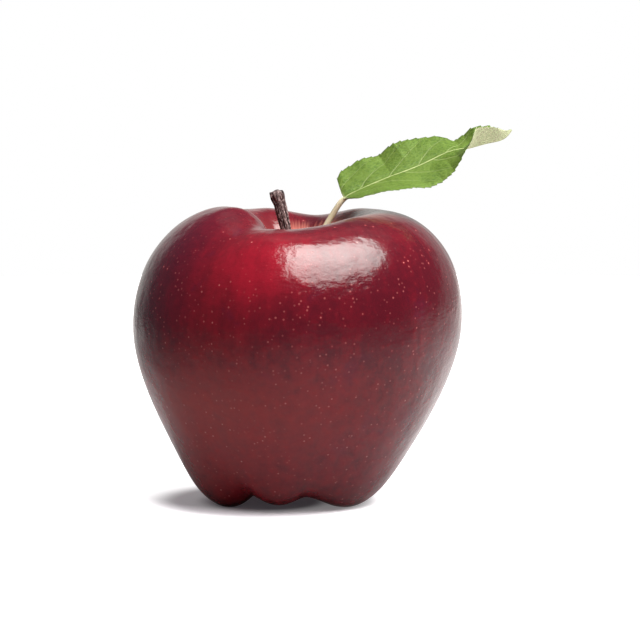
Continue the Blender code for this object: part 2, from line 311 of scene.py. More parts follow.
class FruitSkin:
    def __init__(self, samples=1201):
        profile = fruit["profile"]
        first, last = profile[1], profile[-2]
        whole = spline([(-first[0], first[1]), *profile, (-last[0], last[1])], 4 * samples)
        right = whole[whole[:, 0] >= 0]
        along = lengthsAlong(right)
        shares = np.linspace(0.0, 1.0, samples)
        self.last = samples - 1
        self.profile = np.stack([np.interp(shares, along / along[-1], column) for column in right.T], axis=1)
        self.profile[[0, -1], 0] = 0.0
        run = np.gradient(self.profile, axis=0)
        out = np.stack([-run[:, 1], run[:, 0]], axis=1)
        self.outward = out / np.linalg.norm(out, axis=1)[:, None]
        valley = spline(fruit["valley"], samples)
        self.valley = np.interp(100 * shares, valley[:, 0], valley[:, 1])

    def lobeAt(self, azimuth):
        lobes = fruit["lobes"]
        start = lobes[0][0]
        azimuth = (azimuth - start) % 360.0 + start
        crests = [lobe[0] for lobe in lobes] + [start + 360.0]
        i = max(k for k in range(len(lobes)) if crests[k] <= azimuth)
        here, after = lobes[i], lobes[(i + 1) % len(lobes)]
        share = float(np.interp(azimuth, [crests[i], here[1], crests[i + 1]], [0.0, 0.5, 1.0]))
        rounding = fruit["rounding"]
        ridge = math.hypot(math.cos(math.pi * share), rounding) - rounding
        crest = ridge / (math.hypot(1.0, rounding) - rounding)
        blend = ease(share)
        foot, reach, shoulder = (here[k] * (1 - blend) + after[k] * blend for k in (2, 3, 4))
        return crest, foot, reach, shoulder - here[5] * math.sin(math.pi * share) ** 2

    def at(self, share, turn):
        place = share * self.last
        low = min(int(place), self.last - 1)
        mix = place - low
        radius, height = self.profile[low] * (1 - mix) + self.profile[low + 1] * mix
        outR, outZ = self.outward[low] * (1 - mix) + self.outward[low + 1] * mix
        depth = self.valley[low] * (1 - mix) + self.valley[low + 1] * mix
        crest, foot, reach, shoulder = self.lobeAt(math.degrees(turn))
        proud = self.unevenness(share, turn) - depth * (1 - crest)
        radius += outR * proud
        height += outZ * proud
        height += shoulder * math.sin(math.pi / 2 * min(1.0, share / 0.1)) * bell(share, *fruit["shoulder"])
        height += foot * bell(share, *fruit["foot"]) - fruit["press"]
        radius += reach * bell(share, *fruit["foot"])
        point = fromCore(radius * math.sin(turn) + leanAt(height), -radius * math.cos(turn), height)
        point.z = max(0.0, point.z)
        return point

    def unevenness(self, share, turn):
        x, y = math.sin(turn), -math.cos(turn)
        calm = ease(share / 0.03) * ease((1 - share) / 0.03)  # nothing where the profile meets the core
        ripple = wobble(6.0 * x, 6.0 * y, 2.2 * share + 5)
        dents = wobble(2.4 * x, 2.4 * y, 3.4 * share + 11)
        folds = wobble(5.5 * x, 5.5 * y, 1.1 * share + 3) * (bell(share, 0.10, 0.07) + bell(share, 0.93, 0.05))
        dimples = wobble(6.5 * x * math.sin(math.pi * share), 6.5 * y * math.sin(math.pi * share), 19 * share)
        uneven = fruit["ripple"] * ripple + fruit["dents"] * dents + fruit["dimples"] * dimples
        for azimuth, place, width, length, depth in fruit["grooves"]:
            off = (math.degrees(turn) - azimuth + 4 * wobble(9 * share, azimuth, 0) + 180) % 360 - 180
            if abs(off) < 3 * width:
                uneven -= depth * bell(off, 0.0, width) * bell(share, place, length)
        return calm * (uneven + 2 * fruit["folds"] * folds)


skin = {
    "deep": (0.068, 0.0034, 0.0085),
    "red": (0.125, 0.0043, 0.0105),
    "bright": (0.210, 0.0052, 0.0140),
    "purple": (0.066, 0.0055, 0.0190),
    "paintedLowLight": (0.205, 0.0085, 0.0085),  # painted light and reflection: brighter and browner towards the feet, most on the left, standing in for light from the table
    "tan": (0.620, 0.210, 0.150),  # in the stem cavity
    "russet": (0.330, 0.190, 0.085),  # round the stem
    "shoulderTanAndSheen": (0.330, 0.150, 0.100),  # a narrow pale patch on the right shoulder: partly russet, partly painted reflection
    "olive": (0.220, 0.130, 0.035),  # round the dried flower
    "dot": (0.400, 0.095, 0.090),
    "dotHalo": (0.180, 0.008, 0.014),
    "tone": 0.37,  # evenly over the skin: 0 is deep, 1 is bright
    "paintedLightLift": 0.47,  # painted light: brighter on the front, left of the highlight; this and the next four can be 0
    "rimPaintedShade": 0.26,  # painted shade: darker on the shoulder
    "flankPaintedShade": 0.30,  # painted shade: darker and more purple on the left
    "rightPaintedShade": 0.16,  # painted shade: darker on the right, in the upper half; the next, in the lower half
    "lowRightPaintedShade": 0.13,
    "gloss": 0.16,  # roughness
    "largeDots": 400.0,  # cells per metre
    "smallDots": 640.0,
    "largeReach": (0.00031, 0.00012),  # metres from a dot's middle: where it ends, where it is full
    "smallReach": (0.00036, 0.00012),
    "haloReach": (0.00090, 0.00020),
    "orangePeel": (560.0, 5.0e-5),  # grains per metre and height of the bumps in metres
    "fineGrain": (1900.0, 2.2e-5),
    "flow": (210.0, 2.6e-4),
    "dotHeight": 1.0e-5,
}


def skinLook():
    look = Look("appleSkin", IOR=1.35)
    place = look.place()
    meridian = look.fact("meridian", "Vector")
    right, back, share = look.split(meridian)
    broad = look.grain(look.stretch(meridian, 6, 6, 2.2), 1.0, 3.0)
    narrow = look.grain(look.stretch(meridian, 30, 30, 4.0), 1.0, 4.0, 0.6)
    blotch = look.grain(place, 48.0, 4.0, 0.55)
    patches = look.grain(place, 85.0, 4.0, 0.6)

    # painted light and shade: brighter on the front, darker on the shoulder, the left flank and the right
    paintedLight = share.step(0.45, 0.36) * share.step(0.19, 0.33) * (right * -0.22 - back * 0.975).step(0.89, 1.0)
    paintedLight = paintedLight * (1 - right.step(-0.18, 0.12) * 0.45)
    # painted shade on the shoulder round the cavity
    rim = share.step(0.30, 0.20) * share.step(0.10, 0.17) * right.step(-0.6, 0.2)
    # painted shade on the left flank, drawn in purple as well further down
    flank = (0 - right).step(0.55, 1.0) * share.step(0.10, 0.35) * share.step(0.75, 0.45)
    mottle = look.grain(place, 420.0, 3.0, 0.65)
    lower = share.step(0.30, 0.50)
    tone = (broad - 0.5) * 0.55 + (narrow - 0.5) * 0.28 + (blotch - 0.5) * 0.70
    tone = tone + (mottle - 0.5) * 0.55 + skin["tone"]
    tone = tone + paintedLight * skin["paintedLightLift"] - rim * skin["rimPaintedShade"] - flank * skin["flankPaintedShade"]
    # painted shade on the right side, in the upper and the lower half
    tone = tone - right.step(0.0, 0.6) * share.step(0.6, 0.4) * skin["rightPaintedShade"]
    tone = tone - right.step(-0.3, 0.3) * lower * skin["lowRightPaintedShade"]
    colour = look.node(
        "ShaderNodeValToRGB",
        {"stops": [(0.12, skin["deep"]), (0.5, skin["red"]), (0.9, skin["bright"])]},
        {0: tone},
    )
    purpler = (patches.step(0.56, 0.74) * 0.6).atLeast(flank * (2 * skin["flankPaintedShade"]))
    colour = look.mix(purpler, colour, skin["purple"])
    # painted light and reflection of the table: browner towards the feet, most on the left
    paintedLowLightMask = share.step(0.46, 0.62) * (0.50 - right * 0.5).atLeast(0.15).atMost(0.80)
    paintedLowLightMask = paintedLowLightMask * (1 - share.step(0.58, 0.76) * 0.6) + (mottle - 0.5) * share.step(0.42, 0.52) * 0.7
    colour = look.mix(paintedLowLightMask, colour, skin["paintedLowLight"])

    # dots: where a cell's middle lies near the surface
    large = look.cells(place, skin["largeDots"]) / skin["largeDots"]
    small = look.cells(place, skin["smallDots"]) / skin["smallDots"]
    size = look.grain(place, 300.0, 1.0)
    dots = large.step(*skin["largeReach"]) * size.step(0.42, 0.74)
    fewer = size.step(0.72, 0.36) * (lower * 0.75 + 0.12)
    dots = dots.atLeast(small.step(*skin["smallReach"]) * fewer)
    halo = large.step(*skin["haloReach"]) * size.step(0.36, 0.74)
    colour = look.mix(halo * 0.30 * share.step(0.06, 0.16), colour, skin["dotHalo"])
    shown = share.step(0.06, 0.14) * share.step(0.56, 0.36).atLeast(0.42)
    colour = look.mix(dots * shown, colour, skin["dot"])

    # the skin pales to tan in the cavity and to olive in the basin, in streaks
    ragged = (narrow - 0.5) * 0.09 + share
    # painted reflection in a russet tan: a narrow pale patch on the right shoulder
    shoulderSheenMask = right.step(0.45, 0.90) * share.step(0.10, 0.16) * share.step(0.27, 0.19) * narrow.step(0.30, 0.62)
    colour = look.mix(shoulderSheenMask * 0.55, colour, skin["shoulderTanAndSheen"])
    leftWall = right.step(-0.60, 0.05) * 0.90 + 0.10
    colour = look.mix(ragged.step(0.178, 0.116) * leftWall * 0.85, colour, skin["tan"])
    colour = look.mix(ragged.step(0.095, 0.045) * (leftWall * 0.5 + 0.3), colour, skin["russet"])
    colour = look.mix(ragged.step(0.94, 0.985) * 0.8, colour, skin["olive"])

    squeezed = look.stretch(place, 1.0, 1.0, 2.4)
    (peelScale, peelHeight), (fineScale, fineHeight) = skin["orangePeel"], skin["fineGrain"]
    flowScale, flowHeight = skin["flow"]
    normal = look.bump(look.grain(squeezed, peelScale, 2.0), peelHeight)
    normal = look.bump(look.grain(squeezed, fineScale, 2.0, 0.7), fineHeight, normal=normal)
    normal = look.bump(look.grain(place, flowScale, 3.0), flowHeight, normal=normal)
    normal = look.bump(dots * shown, skin["dotHeight"], normal=normal)
    rough = (blotch - 0.5) * 0.04 + skin["gloss"] + dots * 0.15
    rough = rough + share.step(0.155, 0.10) * 0.45 + share.step(0.93, 0.99) * 0.3
    look.feed(BaseColor=colour, Roughness=rough, Normal=normal)
    return look.material


def makeFruit():
    form = FruitSkin()

    def place(share, turn):
        share -= 0.25 * math.sin(2 * math.pi * share) / (2 * math.pi)
        return form.at(share, turn), (math.sin(turn), -math.cos(turn), share)

    shape, facts = sphereShape(fruit["around"], fruit["rings"], place)
    piece = finishPiece("apple_fruit", shape, skinLook(), ["fruit"])
    addFact(piece.data, "meridian", facts)
    print("fruit made")


# the stem
stem = {
    "path": [  # x, y, z, radius
        (0.30, 0.0, 53.28, 1.30), (0.25, 0.0, 53.87, 1.45), (-0.05, 0.0, 55.3, 1.42), (-1.05, -0.4, 59.3, 1.18),
        (-2.00, -0.8, 63.3, 1.22), (-3.00, -1.1, 67.3, 1.33), (-3.95, -1.4, 71.3, 1.50),
        (-4.75, -1.5, 74.3, 1.66), (-5.20, -1.5, 75.9, 1.78), (-5.35, -1.5, 76.55, 1.62),
    ],
    "around": 96,
    "rings": 300,
    "ridges": 0.25,
    "twist": 0.9,  # radians from foot to knob
    "knots": 0.26,
    "groove": (0.010, 0.005, 0.006),
    "bark": (0.062, 0.033, 0.033),
    "worn": (0.400, 0.290, 0.270),
    "fleck": (0.620, 0.480, 0.460),
    "scaleHeight": 1.5e-4,  # heights of the bumps, metres
    "fibreHeight": 8e-5,
    "pitHeight": 1.0e-5,
}


def stemLook():
    look = Look("stemBark", roughness=0.75, SpecularIORLevel=0.15)
    place = look.place()
    along = look.fact("grain", "Vector")
    height = look.fact("ridge")
    streak = look.grain(look.stretch(along, 5, 5, 9), 1.0, 4.0, 0.65)
    fleck = look.grain(look.stretch(along, 8, 8, 26), 1.0, 3.0, 0.6)
    # darker in the grooves, paler on the ridge tops
    tone = height * 0.55 + streak * 0.5 + (fleck - 0.5) * 0.35
    colour = look.node(
        "ShaderNodeValToRGB",
        {"stops": [(0.36, stem["groove"]), (0.62, stem["bark"]), (0.90, stem["worn"])]},
        {0: tone},
    )
    scale = look.grain(look.stretch(along, 4.5, 4.5, 14), 1.0, 2.0)
    colour = look.mix(scale.step(0.56, 0.66) * height.step(0.3, 0.7) * 0.85, colour, stem["fleck"])
    fibre = look.grain(look.stretch(along, 16, 16, 12), 1.0, 3.0, 0.7)
    normal = look.bump(scale, stem["scaleHeight"])
    normal = look.bump(fibre, stem["fibreHeight"], normal=normal)
    normal = look.bump(look.grain(place, 6000.0, 2.0), stem["pitHeight"], normal=normal)
    look.feed(BaseColor=colour, Roughness=0.82 - height * 0.22, Normal=normal)
    return look.material


def makeStem():
    path = spline(stem["path"], 600)

    def place(share, turn):
        (x, y, z, radius), step = onPath(path, share)
        ahead = Vector(step[:3]).normalized()
        side = Vector((0.0, 1.0, 0.0)).cross(ahead).normalized()
        front = ahead.cross(side)
        grainTurn = turn + stem["twist"] * share
        gx, gy = math.cos(grainTurn), math.sin(grainTurn)
        ridge = 1 - abs(wobble(2.3 * gx, 2.3 * gy, 2.4 * share)) * 2.6
        ridge = 0.7 * ridge + 0.3 * wobble(6 * gx, 6 * gy, 9 * share)
        knots = wobble(1.4 * gx + 4, 1.4 * gy, 9 * share) * bell(share, 1.0, 0.16)
        ends = min(1.0, share / 0.012) ** 0.5 * min(1.0, (1 - share) / 0.016) ** 0.4
        radius = (radius + stem["ridges"] * (ridge - 0.55) + 2 * stem["knots"] * knots) * ends
        out = side * math.cos(turn) + front * math.sin(turn)
        top = ease((share - 0.96) / 0.04)
        slant = ahead * (0.35 * top * wobble(gx * radius, gy * radius, 7.0))
        point = fromCore(*(Vector((x, y, z)) + out * radius + slant))
        return point, (gx, gy, 3 * share, ridge)

    shape, facts = sphereShape(stem["around"], stem["rings"], place)
    piece = finishPiece("apple_stem", shape, stemLook(), ["stem"])
    facts = np.array(facts)
    addFact(piece.data, "grain", facts[:, :3])
    addFact(piece.data, "ridge", np.clip(0.5 + 0.5 * facts[:, 3], 0, 1))
    print("stem made")


# the leaf
leaf = {
    "path": [  # stalk, then the rib of the blade
        (2.35, 0.3, 54.8), (4.1, 0.4, 61.3), (6.8, 0.4, 67.6), (8.9, 0.2, 71.2), (11.2, 0.0, 74.3),
        (14.6, 0.7, 76.2), (21.5, 2.0, 79.1), (30.7, 3.9, 82.5), (37.6, 5.2, 85.5), (41.7, 5.9, 86.3),
        (46.8, 6.8, 87.5), (50.4, 7.3, 88.5), (52.3, 7.6, 90.5),
    ],
    "bladeFrom": (11.2, 0.0, 74.3),
    "thickness": 0.26,
    "rib": [(-25.0, 0.80), (-8.0, 0.74), (0.0, 0.66), (10.0, 0.46), (30.0, 0.28), (46.5, 0.13)],
    "halfWidth": [
        (0.0, 0.60), (0.8, 3.8), (2.0, 8.2), (4.5, 10.2), (9.0, 11.0), (14.0, 11.3), (20.0, 11.0),
        (26.0, 9.6), (31.0, 7.9), (36.0, 6.3), (41.5, 4.2), (43.4, 3.1), (44.3, 1.3),
        (45.2, 0.5), (46.8, 0.14),
    ],
    "backRise": [
        (0.0, 33.0), (9.0, 32.0), (13.4, 26.0), (18.0, 37.0), (24.4, 34.0), (28.0, 26.0), (31.5, 12.0),
        (34.0, 22.0), (36.5, 42.0), (40.0, 47.0),
    ],
    "frontRise": [
        (0.0, -6.0), (4.6, -7.0), (9.6, -10.0), (15.4, -18.0), (18.8, -25.0), (22.7, -28.5), (26.6, -25.0),
        (29.5, -13.0), (31.0, 0.0), (33.2, 18.0), (35.5, 44.0), (39.0, 48.0),
    ],
    "toothLength": 0.55,
    "toothPitch": 1.75,
    "veinPitch": 7.8,
    "veinSlope": 1.15,  # forward per distance from the rib
    "veinBend": 0.035,
    "veinStart": 0.02,  # in pitches; the back half's veins start half a pitch later
    "veinStagger": 0.5,
    "veinLean": 0.66,  # straight distance to a vein per distance along the rib
    "quilting": 0.06,
    "stations": 330,
    "stalkShare": 0.16,  # of the stations
    "around": 112,
    "green": (0.063, 0.107, 0.0130),
    "greenDark": (0.032, 0.064, 0.007),
    "greenLight": (0.105, 0.154, 0.025),
    "vein": (0.260, 0.300, 0.120),
    "ribPale": (0.400, 0.430, 0.200),
    "underside": (0.590, 0.640, 0.370),
    "stalk": (0.620, 0.545, 0.380),
    "stalkGreen": (0.420, 0.420, 0.210),
    "veinHeight": 7e-5,  # heights of the bumps, metres
    "grainHeight": 2.5e-5,
}


class LeafForm:
    def __init__(self):
        self.path = spline(leaf["path"], 1200)
        self.along = lengthsAlong(self.path)
        start = np.array(leaf["bladeFrom"])
        self.along -= self.along[np.argmin(np.linalg.norm(self.path - start, axis=1))]
        self.first, self.last = self.along[0], self.along[-1]

    def frameAt(self, s):
        point, ahead, behind = (
            Vector([np.interp(value, self.along, column) for column in self.path.T])
            for value in (s, s + 0.5, s - 0.5)
        )
        forward = (ahead - behind).normalized()
        back = Vector((0.0, 1.0, 0.0))
        back = (back - forward * back.dot(forward)).normalized()
        return point, back, forward.cross(back)

    def station(self, share):
        # more stations on the blade than on the stalk
        split = leaf["stalkShare"]
        if share < split:
            return self.first * (1 - share / split)
        u = (share - split) / (1 - split)
        return self.last * (0.75 * u + 0.25 * (1 - math.cos(math.pi * u)) / 2)

    def veinDistance(self, s, across):
        # millimetres to the nearest side vein
        d = abs(across)
        offset = leaf["veinStart"] + (leaf["veinStagger"] if across > 0 else 0.0)
        phase = (s - leaf["veinSlope"] * d - leaf["veinBend"] * d * d) / leaf["veinPitch"] - offset
        return abs(phase - round(phase)) * leaf["veinPitch"] * leaf["veinLean"]

    def at(self, share, turn):
        s = self.station(share)
        point, back, up = self.frameAt(s)
        rib = lookUp(leaf["rib"], s)
        width = lookUp(leaf["halfWidth"], s) if s > 0 else rib
        spread = min(1.0, (width - rib) / rib) if width > rib else 0.0
        v = math.cos(turn)  # 1 at the back margin, -1 at the front one
        under = math.sin(turn) < 0
        side = 1 if v >= 0 else -1
        reach = abs(v)
        reach = reach * (1 - spread) + spread * (1 - (math.acos(reach) / (math.pi / 2)) ** 1.15)
        margin = ease((reach - 0.55) / 0.45) * spread
        pitch = leaf["toothPitch"] * (1.0 + 0.15 * side)
        phase = (s / pitch + 0.35 * wobble(0.4 * s, side, 3.0)) % 1.0
        tooth = leaf["toothLength"] * min(1.0, width / 4) * phase**1.3 * margin * ease(s / 3)
        d = reach * width + tooth * reach
        angle = lookUp(leaf["backRise"] if side > 0 else leaf["frontRise"], s)
        angle += spread * 1.2 * wobble(0.3 * s + 9, side * 2.0, 1.0)
        rise = math.radians(angle) * ease(d / (4 * rib)) * (1 if spread > 0 else 0)
        across = back * (side * math.cos(rise)) + up * math.sin(rise)
        outward = up * math.cos(rise) - back * (side * math.sin(rise))
        relief, height = self.relief(s, d, side, rib, spread, under, reach)
        point = point + across * d + outward * (relief + height)
        return fromCore(*point), (s, side * d, share)

    def relief(self, s, d, side, rib, spread, under, reach):
        # the quilted blade, its waves, then the half thickness with the rib's round underside
        blade = spread * ease(d / 1.2)
        vein = self.veinDistance(s, side * d)
        quilt = leaf["quilting"] * (ease(vein / 2.2) - 0.6)
        waves = 0.15 * wobble(0.22 * s, 0.22 * side * d, 5.0) + 0.07 * wobble(0.9 * s, 0.9 * side * d, 2.0)
        waves += 0.14 * ease((reach - 0.5) / 0.5) * wobble(0.45 * s, side * 3.0, 8.0)
        thick = leaf["thickness"] / 2 * spread * (1 - ease((reach - 0.93) / 0.07) * 0.8)
        roundRib = math.sqrt(max(0.0, rib * rib - d * d))
        veinBead = 0.10 * math.exp(-((vein / 0.22) ** 2)) * spread * ease(d / 1.0) * (1 - 0.7 * reach)
        if under:
            height = -max(roundRib, thick + veinBead)
        else:
            groove = 0.10 * spread * math.exp(-((d / (0.5 * rib + 0.05)) ** 2))
            height = max(roundRib * (1 - spread), thick) + 0.4 * groove - 0.5 * veinBead
        return blade * (quilt + waves), height * (1 if reach < 0.999 else 0)


def leafLook():
    look = Look("leafGreen", IOR=1.3, SpecularIORLevel=0.25)
    spot = look.fact("leafPlace", "Vector")
    s, across, _ = look.split(spot)
    d = abs(across)
    backHalf = across.step(-0.05, 0.05)
    under = look.fact("underside")
    # side veins run forward from the rib, alternately on the two halves
    phase = (s - d * leaf["veinSlope"] - d * d * leaf["veinBend"]) / leaf["veinPitch"]
    phase = phase - (backHalf * leaf["veinStagger"] + leaf["veinStart"])
    nearest = abs(phase - phase.maths("ROUND", phase)) * (leaf["veinPitch"] * leaf["veinLean"])
    taper = d.step(10.0, 1.0) * 0.09 + 0.05
    sideVein = 1 - (nearest / taper).step(0.5, 1.6)
    rib = 1 - (d / (0.50 - s * 0.006).atLeast(0.16)).step(0.6, 1.3)
    mesh = look.cells(spot, 0.85, "DISTANCE_TO_EDGE")
    mesh2 = look.cells(spot, 2.3, "DISTANCE_TO_EDGE")
    network = (1 - mesh.step(0.03, 0.16)) * 0.6 + (1 - mesh2.step(0.04, 0.22)) * 0.3
    onBlade = s.step(-0.5, 1.0)

    cloud = look.grain(spot, 0.16, 3.0)
    grainy = look.grain(spot, 1.6, 3.0, 0.6)
    tone = (cloud - 0.5) * 0.9 + (grainy - 0.5) * 1.3 + 0.52
    green = look.node(
        "ShaderNodeValToRGB",
        {"stops": [(0.15, leaf["greenDark"]), (0.5, leaf["green"]), (0.9, leaf["greenLight"])]},
        {0: tone},
    )
    green = look.mix(network * 0.75, green, leaf["greenLight"])
    green = look.mix(sideVein * 0.5, green, leaf["vein"])
    pale = look.mix((grainy - 0.35) * 0.4, leaf["underside"], leaf["greenLight"])
    pale = look.mix((network * 0.5).atLeast(sideVein * 0.7), pale, leaf["stalk"])
    colour = look.mix(under, green, pale)
    colour = look.mix(rib * onBlade, colour, leaf["ribPale"])
    stripes = look.grain(look.stretch(spot, 0.5, 6.0, 1.0), 1.0, 3.0)
    stalk = look.mix(stripes.step(0.4, 0.8), leaf["stalk"], leaf["stalkGreen"])
    colour = look.mix(1 - onBlade, colour, stalk)

    height = sideVein * -1.0 - network * 0.6 - rib * 0.5
    normal = look.bump(height * onBlade, leaf["veinHeight"])
    normal = look.bump(look.grain(spot, 6.0, 3.0, 0.6), leaf["grainHeight"], normal=normal)
    look.feed(BaseColor=colour, Roughness=0.55 + under * 0.2 + (grainy - 0.5) * 0.2, Normal=normal)
    return look.material


def makeLeaf():
    form = LeafForm()
    shape, facts = sphereShape(leaf["around"], leaf["stations"], form.at)
    piece = finishPiece("apple_leaf", shape, leafLook(), ["leaf"])
    addFact(piece.data, "leafPlace", facts)
    # the lower side is paler; which side a point is on follows from its turn round the section
    turns = sphereTurns(leaf["around"], leaf["stations"])
    addFact(piece.data, "underside", [1.0 if math.sin(turn) < -0.02 else 0.0 for turn in turns])
    print("leaf made")


def sphereTurns(around, rings):
    shape = bmesh.new()
    bmesh.ops.create_uvsphere(shape, u_segments=around, v_segments=rings, radius=1.0)
    turns = [math.atan2(vertex.co.x, -vertex.co.y) for vertex in shape.verts]
    shape.free()
    return turns


# the dried flower in the basin
flower = {
    "sepals": (18.0, 92.0, 160.0, 236.0, 305.0),
    "path": [(1.5, 10.3), (2.0, 9.1), (2.9, 7.7), (4.1, 6.7), (5.4, 6.2)],  # distance from the core, height
    "width": [(0.0, 1.25), (0.25, 1.7), (0.5, 1.9), (0.75, 1.3), (1.0, 0.3)],
    "thickness": 0.3,
    "dark": (0.035, 0.018, 0.010),
    "dry": (0.130, 0.075, 0.038),
    "pale": (0.300, 0.200, 0.110),
    "crinkle": 0.14,
    "cup": 0.24,  # how far a sepal's margins bend back
    "streakHeight": 1.2e-4,  # height of the bumps, metres
    "stamens": 16,
    "threadTurn": 2.4,  # radians from one thread to the next
    "threadRadius": 0.11,
    "tipSwell": 0.07,
    "top": 10.3,
    "foot": 6.75,
}


def driedLook(name):
    look = Look(name, roughness=0.85, SpecularIORLevel=0.15)
    place = look.place()
    along = look.fact("grain", "Vector")
    streak = look.grain(look.stretch(along, 2.0, 9.0, 1.0), 1.0, 4.0, 0.65)
    speck = look.grain(place, 2600.0, 3.0, 0.6)
    colour = look.node(
        "ShaderNodeValToRGB",
        {"stops": [(0.3, flower["dark"]), (0.52, flower["dry"]), (0.75, flower["pale"])]},
        {0: streak * 0.6 + speck * 0.4},
    )
    normal = look.bump(streak, flower["streakHeight"])
    look.feed(BaseColor=colour, Roughness=0.78 + speck * 0.2, Normal=normal)
    return look.material


def makeSepals():
    look = driedLook("driedSepal")
    path = spline(flower["path"], 200)
    for number, azimuth in enumerate(flower["sepals"], start=1):
        turnOut = math.radians(azimuth)
        outward = Vector((math.sin(turnOut), -math.cos(turnOut), 0.0))
        sideways = Vector((math.cos(turnOut), math.sin(turnOut), 0.0))

        def place(share, turn):
            (radius, height), step = onPath(path, share)
            runR, runZ = step / np.linalg.norm(step)
            normal = outward * -runZ + Vector((0.0, 0.0, runR))
            middle = outward * radius + Vector((leanAt(height), 0.0, height - fruit["press"]))
            ends = min(1.0, share / 0.05) ** 0.5 * min(1.0, (1 - share) / 0.05) ** 0.5
            halfWidth = lookUp(flower["width"], share) / 2 * ends
            v = math.cos(turn)
            thick = flower["thickness"] / 2 * math.sin(turn) * ends
            crinkle = flower["crinkle"] * wobble(2.2 * v, 5.0 * share, number)
            crinkle += 0.05 * wobble(7.0 * v, 16.0 * share, number)
            cup = -flower["cup"] * v * v * halfWidth
            point = middle + sideways * (v * halfWidth) + normal * (thick + (crinkle + cup) * ends)
            return fromCore(*point), (v, share * 3, number)

        shape, facts = sphereShape(32, 72, place)
        piece = finishPiece(f"apple_sepal_{number}", shape, look, [f"sepal_{number}"])
        addFact(piece.data, "grain", facts)
    print("sepals made")


def makeStamens():
    # a bunch of withered threads, closest together in the middle
    whole = bmesh.new()
    facts = []
    for number in range(flower["stamens"]):
        angle = number * flower["threadTurn"]
        ring = 0.12 + 0.60 * math.sqrt(number / flower["stamens"])
        drift = 0.30 * wobble(number * 1.7, 2.0, 0.0)
        length = (flower["top"] - flower["foot"]) * (0.72 + 0.28 * abs(wobble(number * 2.3, 0.0, 4.0)) * 2)
        length = min(length, flower["top"] - flower["foot"])

        def place(share, turn):
            lean = drift * share * share
            x = (ring + 0.05 * share) * math.cos(angle) + lean * math.cos(angle + 1.3)
            y = (ring + 0.05 * share) * math.sin(angle) + lean * math.sin(angle + 1.3)
            height = flower["top"] - length * share - fruit["press"]
            ends = min(1.0, share / 0.03) ** 0.5 * min(1.0, (1 - share) / 0.05) ** 0.5
            thick = (flower["threadRadius"] + flower["tipSwell"] * bell(share, 0.93, 0.07)) * ends
            point = (x + thick * math.cos(turn) + leanAt(height), y + thick * math.sin(turn), height)
            return fromCore(*point), (math.cos(turn), share * 2, number)

        thread, threadFacts = sphereShape(10, 28, place)
        facts += threadFacts
        mesh = bpy.data.meshes.new("thread")
        thread.to_mesh(mesh)
        thread.free()
        whole.from_mesh(mesh)
        bpy.data.meshes.remove(mesh)
    piece = finishPiece("apple_stamens", whole, driedLook("driedStamen"), ["stamen_tuft"])
    addFact(piece.data, "grain", facts)
    print("stamens made")


# table, lights and camera
studio = {
    "camera": {"rise": 7.0, "distance": 1.1, "aim": (-0.83, 0.0, 44.64), "viewWidth": 156.16},
    "softbox": {
        "centre": (0.305, -0.330, 0.80),
        "size": (0.70, 1.00),
        "light": 25.5,
        "shine": 25.5,
        "frontCut": 0.27,
        "backCut": 0.38,
    },
    "floor": {"colour": (0.82, 0.78, 0.81), "radius": 0.5, "height": -1e-5},
    "table": {"size": 1.8, "height": -2e-5},  # under the floor, so that it can't light the shadow there
    "wall": {"radius": 0.9, "height": 1.7, "openFrom": -0.3},
    "feetLeft": 0.0145,  # how far left of the middle the painted shadow is centred, metres
    "sheen": (0.45, 0.45, 0.45),  # the table as the skin mirrors it
    "back": (0.76, 0.75, 0.72),  # the wall behind as the skin mirrors it
    "room": (0.19, 0.19, 0.20),
}


def stagePiece(name, shape, look, seenBy):
    mesh = bpy.data.meshes.new(name)
    shape.to_mesh(mesh)
    shape.free()
    mesh.materials.append(look.material)
    piece = bpy.data.objects.new(name, mesh)
    bpy.context.scene.collection.objects.link(piece)
    for ray in ("camera", "diffuse", "glossy", "transmission", "shadow"):
        setattr(piece, "visible_" + ray, ray in seenBy)


def flatPanel(width, length, centre):
    shape = bmesh.new()
    bmesh.ops.create_grid(shape, x_segments=1, y_segments=1, size=0.5)
    bmesh.ops.scale(shape, vec=(width, length, 1.0), verts=shape.verts)
    bmesh.ops.translate(shape, vec=centre, verts=shape.verts)
    return shape


